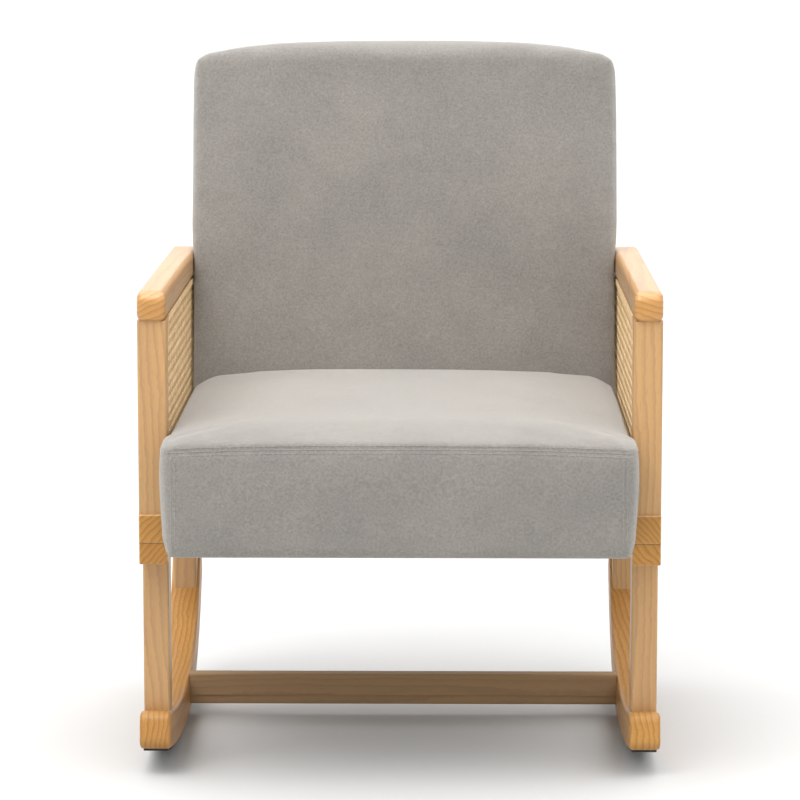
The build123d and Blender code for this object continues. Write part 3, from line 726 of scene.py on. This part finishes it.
def back_grid():
    """Grid size and a function giving each point of the outline across and up the back, with rounded shoulders."""
    nx, nu = 64, 56
    low = (0.376 - 0.435) / math.cos(LEAN) + 0.002
    crn = 0.016

    def top_u(x, hw):
        return U_TOP + 0.0015 - 0.0150 * (abs(x) / 0.268) ** 4

    def pos(i, j):
        x = -1 + 2 * i / nx
        v = j / nu
        hw0 = half_width(low + (U_TOP - low) * v)
        # superellipse-like rounding of the shoulders
        xx = x * hw0
        u_max = top_u(xx, hw0)
        u = low + (u_max - low) * v
        # shoulders
        ex, eu = abs(xx) - (hw0 - crn), u - (u_max - crn)
        if ex > 0 and eu > 0:
            k = max(ex, eu)
            l = math.hypot(ex, eu)
            if l > 1e-9:
                ex, eu = ex / l * k, eu / l * k
            xx = math.copysign(hw0 - crn + ex, xx)
            u = u_max - crn + eu
        return xx, u
    return nx, nu, pos


nx, nu, bpos = back_grid()
verts, faces = [], []
index = {}


def bvert(i, j, side):
    key = (i, j, side)
    if key not in index:
        x, u = bpos(i, j)
        # the front and rear layers sit at fixed depths; the rim distances ed, et, e and r are worked out but not used
        ed = min(i, nx - i) * 2 * BH / nx
        et = (nu - j) * (U_TOP + 0.06) / nu
        e = min(ed, et)
        r = 0.014
        inset = 0.0
        w = inset + 0.0006 if side == 0 else T - 0.0006
        index[key] = len(verts)
        verts.append(back_point(x, w, u))
    return index[key]


for i in range(nx):
    for j in range(nu):
        faces.append((bvert(i, j, 0), bvert(i + 1, j, 0), bvert(i + 1, j + 1, 0), bvert(i, j + 1, 0)))
        faces.append((bvert(i, j, 1), bvert(i, j + 1, 1), bvert(i + 1, j + 1, 1), bvert(i + 1, j, 1)))
rim = [(i, 0) for i in range(nx)] + [(nx, j) for j in range(nu)] + [(i, nu) for i in range(nx, 0, -1)] + [(0, j) for j in range(nu, 0, -1)]
for a, b in zip(rim, rim[1:] + rim[:1]):
    faces.append((bvert(*a, 0), bvert(*a, 1), bvert(*b, 1), bvert(*b, 0)))
back = obj("back_upholstery", verts, faces, mat_fabric)
fix_normals(back)


def to_local(c):
    y, z = c.y - Y(0.445), c.z - 0.435
    cs, sn = math.cos(LEAN), math.sin(LEAN)
    return c.x, y * cs - z * sn, y * sn + z * cs


def back_pin(c):
    x, w, u = to_local(c)
    p = 0.0
    rear = smoothstep(T - 0.012, T - 0.004, w)
    hw = half_width(u)
    # rear panel's edge, sewn and stapled round the frame
    edge = 1 - smoothstep(0.004, 0.014, hw - abs(x))
    p = max(p, rear * 0.92)
    p = max(p, edge * 0.80)
    if c.z < 0.385:
        p = 1.0
    if c.z < 0.60 and abs(x) > BH - 0.012:
        p = 1.0
    return min(1.0, p)


puff(back, back_pin, pressure=3.0, cap=0.006, voxel=0.0068, frames=14)
smooth_mesh(back, 6, 0.5)
for v in back.data.vertices:
    x, w, u = to_local(v.co)
    ex = max(0.0, 1 - (abs(x) / BH) ** 2.6)
    eu = max(0.0, min(1.0, (u + 0.05) / 0.22)) * max(0.0, min(1.0, (U_TOP - u) / 0.16))
    d = 0.0
    if w < T * 0.4:
        d = -0.003 * ex * eu                    # the padded front stands proud
    v.co += Vector((0, math.cos(LEAN), -math.sin(LEAN))) * d
    v.co += v.normal * noise.noise(Vector((v.co.x * 5, v.co.y * 5, v.co.z * 5))) * 0.0012
back.data.update()
ss = back.modifiers.new("sub", "SUBSURF")
ss.levels = ss.render_levels = 1
apply_mods(back)
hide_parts("back_cover", "back_foam")


# ------------------------------------------------------ seams and stitch rows
seat_tree = bvh(seat)
back_tree = bvh(back)


def on_surface(tree, p, lift=0.0, limit=0.05):
    loc, nrm, _, _ = tree.find_nearest(Vector(p), limit)
    if loc is None:
        return Vector(p), Vector((0, 0, 1))
    return loc + nrm * lift, nrm


def seam(name, tree, pts, r=0.0009, lift=-0.0002, mat=None):
    line = [on_surface(tree, p, lift)[0] for p in pts]
    v, f = tube(name, line, r, mat or mat_fabric, sides=8)
    o = obj(name, v, f, mat or mat_fabric)
    return o


def stitches(name, tree, pts, step=0.0058, length=0.0040, r=0.00042, offset=None):
    """A row of small thread stitches along a line on the cloth."""
    line = []
    for p in pts:
        q = Vector(p) + (Vector(offset) if offset else Vector((0, 0, 0)))
        line.append(on_surface(tree, q, r * 0.55))
    V, F = [], []
    d = 0.0
    seg = 0
    lens = [(line[i + 1][0] - line[i][0]).length for i in range(len(line) - 1)]
    total = sum(lens)
    k = 0
    pos = step / 2
    acc = 0.0
    def at(t):
        a = 0.0
        for i, l in enumerate(lens):
            if a + l >= t or i == len(lens) - 1:
                u = 0 if l < 1e-9 else (t - a) / l
                u = max(0, min(1, u))
                return line[i][0].lerp(line[i + 1][0], u)
            a += l
    while pos + length < total:
        a, b = at(pos), at(pos + length)
        m = (a + b) / 2
        pts3 = [a - (m - a) * 0.0, a.lerp(b, 0.2), m, a.lerp(b, 0.8), b]
        nrm = on_surface(tree, m)[1]
        lift = [-0.0003, 0.00022, 0.00032, 0.00022, -0.0003]
        pts3 = [q + nrm * l for q, l in zip(pts3, lift)]
        v, f = tube("", pts3, r, None, sides=6)
        base = len(V)
        V += v
        F += [tuple(base + i for i in ff) for ff in f]
        pos += step
    o = obj(name, V, F, mat_stitch)
    return o


def linspace(a, b, n):
    return [a + (b - a) * i / (n - 1) for i in range(n)]


top_line = [(x, FRONT + 0.001, seam_h(x)) for x in linspace(-W + 0.006, W - 0.006, 110)]
seam("seat_top_seam", seat_tree, top_line, r=0.0008, lift=-0.0003)
stitches("seat_top_stitches_upper", seat_tree, top_line, offset=(0, 0.002, 0.0042))
stitches("seat_top_stitches_lower", seat_tree, top_line, offset=(0, -0.0005, -0.0046))
for sx, tag in ((-1, "right"), (1, "left")):
    zs = linspace(BOT + 0.010, SEAM_H - 0.008, 40)
    corner = [(sx * (W - 0.0065), FRONT - 0.002, z) for z in zs]
    seam(f"seat_corner_seam_{tag}", seat_tree, corner, r=0.0008)
    stitches(f"seat_corner_stitches_{tag}", seat_tree, [(sx * (W - 0.0115), FRONT - 0.002, z) for z in zs])
    around = [(sx * (W - 0.006), FRONT + 0.0005, seam_h(W)), (sx * (W - 0.001), FRONT + 0.004, seam_h(W)), (sx * (W + 0.004), FRONT + 0.010, seam_h(W) + 0.0005)]
    around += [(sx * (W + 0.006), y, seam_h(W) + 0.001) for y in linspace(FRONT + 0.018, Y(-0.006), 12)]
    seam(f"seat_side_seam_{tag}", seat_tree, around, r=0.0008)
# back: the seam where the boxing meets the rear panel, and along the sides
bk = []
for u in linspace(-0.045, U_TOP - 0.03, 60):
    bk.append(back_point(-half_width(u) - 0.002, T - 0.008, u))
for x in linspace(-half_width(U_TOP) + 0.02, half_width(U_TOP) - 0.02, 60):
    bk.append(back_point(x, T - 0.008, U_TOP + 0.002 - 0.0150 * (abs(x) / 0.268) ** 4))
for u in linspace(U_TOP - 0.03, -0.045, 60):
    bk.append(back_point(half_width(u) + 0.002, T - 0.008, u))
seam("back_rear_seam", back_tree, bk, r=0.0012)


# ----------------------------------------------------------------- dust cover
dlo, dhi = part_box("seat_dust_cover")
nxs, nys = 24, 24
V, F = [], []
for i in range(nxs + 1):
    for j in range(nys + 1):
        a, b = i / nxs, j / nys
        x = dlo[0] + (dhi[0] - dlo[0]) * a
        y = dlo[1] + (dhi[1] - dlo[1]) * b
        z = dhi[2] - 0.0006 - 0.0045 * (math.sin(math.pi * a) * math.sin(math.pi * b)) ** 0.7
        z += 0.0006 * noise.noise(Vector((x * 16, y * 16, 0)))
        V.append(Vector((x, y, z)))
for i in range(nxs):
    for j in range(nys):
        a = i * (nys + 1) + j
        F.append((a, a + 1, a + nys + 2, a + nys + 1))
dust = obj("dust_cover_cloth", V, F, mat_dust)
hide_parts("seat_dust_cover")


# ----------------------------------------------------------------- cane weave
def in_outline(y, z, lo, hi, r):
    """Signed room inside the rounded opening: positive inside."""
    cy, cz = (lo[1] + hi[1]) / 2, (lo[2] + hi[2]) / 2
    qx = abs(y - cy) - ((hi[1] - lo[1]) / 2 - r)
    qz = abs(z - cz) - ((hi[2] - lo[2]) / 2 - r)
    out = math.hypot(max(qx, 0), max(qz, 0)) + min(max(qx, qz), 0) - r
    return -out


def cane(side, sx):
    lo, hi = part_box(f"{side}_cane_panel")
    R = 0.0277
    x0 = (lo[0] + hi[0]) / 2
    p = 0.0127
    cy, cz = (lo[1] + hi[1]) / 2, (lo[2] + hi[2]) / 2
    V, F = [], []
    margin = 0.0015

    def strand(start, direction, width, thick, height):
        """Sweeps a flat cane strand from start along direction while it stays inside the opening."""
        d = Vector((0, direction[0], direction[1])).normalized()
        q = Vector((0, -d.z, d.y))
        step = 0.0127 / 5
        pts = []
        run = []
        t = -0.40
        while t < 0.40:
            pt = Vector((0, start[0], start[1])) + d * t
            if in_outline(pt.y, pt.z, lo, hi, R) > margin:
                run.append(pt)
            elif run:
                break
            t += step
        if len(run) < 3:
            return
        base = len(V)
        for pt in run:
            o = height(pt.y - cy, pt.z - cz)
            c = Vector((x0 + sx * -1 * 0, pt.y, pt.z))
            for a, b in ((-0.5, -0.35), (-0.28, -0.5), (0.28, -0.5), (0.5, -0.35), (0.5, 0.35), (0.28, 0.5), (-0.28, 0.5), (-0.5, 0.35)):
                V.append(Vector((c.x + o + b * thick, c.y + q.y * a * width, c.z + q.z * a * width)))
        m = len(run)
        for i in range(m - 1):
            for k in range(8):
                F.append((base + i * 8 + k, base + i * 8 + (k + 1) % 8, base + (i + 1) * 8 + (k + 1) % 8, base + (i + 1) * 8 + k))
        F.append(tuple(base + k for k in range(8))[::-1])
        F.append(tuple(base + (m - 1) * 8 + k for k in range(8)))

    A = 0.00052
    rows = int((hi[2] - lo[2]) / p / 2) + 1
    cols = int((hi[1] - lo[1]) / p / 2) + 1
    w = 0.0020
    t = 0.0007
    for i in range(-rows, rows + 1):
        for k in (-1, 1):
            z = cz + i * p + k * 0.00125
            strand((cy, z), (1, 0), w, t, lambda y, zz, k=k: A * math.cos(math.pi * (y / p) ) * k * 0.9)
    for j in range(-cols, cols + 1):
        for k in (-1, 1):
            y = cy + j * p + k * 0.00125
            strand((y, cz), (0, 1), w, t, lambda yy, z, k=k: -A * math.cos(math.pi * (z / p)) * k * 0.9)
    nd = cols + rows + 2
    for j in range(-nd, nd + 1):
        off = (j + 0.5) * p
        # each diagonal runs through the middles of the open squares
        strand((cy + off, cz), (1, 1), 0.0021, t, lambda y, z: 0.0011 * math.cos(2 * math.pi * (z / p) + 0.4))
        strand((cy + off, cz), (-1, 1), 0.0021, t, lambda y, z: -0.0011 * math.cos(2 * math.pi * (z / p) + 0.4))
    o = obj(f"{side}_cane_weave", V, F, mat_cane)
    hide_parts(f"{side}_cane_panel")
    return o


for side, sx in (("left", 1), ("right", -1)):
    cane(side, sx)


# --------------------------------------------------------------- scene and light
def floor():
    me = bpy.data.meshes.new("floor")
    s = 80
    me.from_pydata([(-s, -s, 0), (s, -s, 0), (s, s, 0), (-s, s, 0)], [], [(0, 1, 2, 3)])
    o = bpy.data.objects.new("floor", me)
    bpy.context.scene.collection.objects.link(o)
    m, nt, p = new_mat("floor_white")
    v = mapped(nt)
    n1 = add(nt, "ShaderNodeTexNoise", Scale=2.0, Detail=2.0)
    link(nt, v, n1.inputs["Vector"])
    link(nt, ramp(nt, n1.outputs["Fac"], [(0.3, (0.53, 0.53, 0.527)), (0.7, (0.55, 0.55, 0.547))]), p.inputs["Base Color"])
    p.inputs["Roughness"].default_value = 0.9
    p.inputs["Specular IOR Level"].default_value = 0.1
    me.materials.append(m)
    return o


floor()
world = bpy.data.worlds.new("studio")
bpy.context.scene.world = world
world.use_nodes = True
bg = world.node_tree.nodes["Background"]
bg.inputs["Color"].default_value = (1.0, 1.0, 1.0, 1)
# a soft dome, brightest straight overhead
wt = world.node_tree
wc = wt.nodes.new("ShaderNodeTexCoord")
wz = wt.nodes.new("ShaderNodeSeparateXYZ")
wt.links.new(wc.outputs["Generated"], wz.inputs[0])
up = math_node(wt, "MAXIMUM", wz.outputs[2], 0.0)
dome = math_node(wt, "MULTIPLY_ADD", math_node(wt, "POWER", up, 2.0), 2.9, 0.56)
band = wt.nodes.new("ShaderNodeMapRange")
band.interpolation_type = "SMOOTHSTEP"
for k, v in (("From Min", 0.14), ("From Max", 0.26), ("To Min", 0.5), ("To Max", 0.0)):
    band.inputs[k].default_value = v
wt.links.new(up, band.inputs["Value"])
wt.links.new(math_node(wt, "ADD", dome, band.outputs["Result"]), bg.inputs["Strength"])


def area(name, loc, target, size, power, color=(1, 1, 1)):
    d = bpy.data.lights.new(name, "AREA")
    d.shape = "RECTANGLE"
    d.size, d.size_y = size
    d.energy = power
    d.color = color
    o = bpy.data.objects.new(name, d)
    bpy.context.scene.collection.objects.link(o)
    o.location = loc
    o.rotation_euler = (Vector(target) - Vector(loc)).to_track_quat("-Z", "Y").to_euler()
    return o


area("overhead", (-0.3, -0.2, 3.4), (0, 0, 0.4), (2.6, 2.6), 12, (1.0, 0.985, 0.96))
area("key", (-1.3, -1.7, 3.3), (0, 0, 0.5), (2.0, 2.0), 42, (1.0, 0.985, 0.96))

bpy.context.scene.view_settings.view_transform = "Standard"
bpy.context.scene.view_settings.look = "None"
bpy.context.scene.view_settings.exposure = 0.0
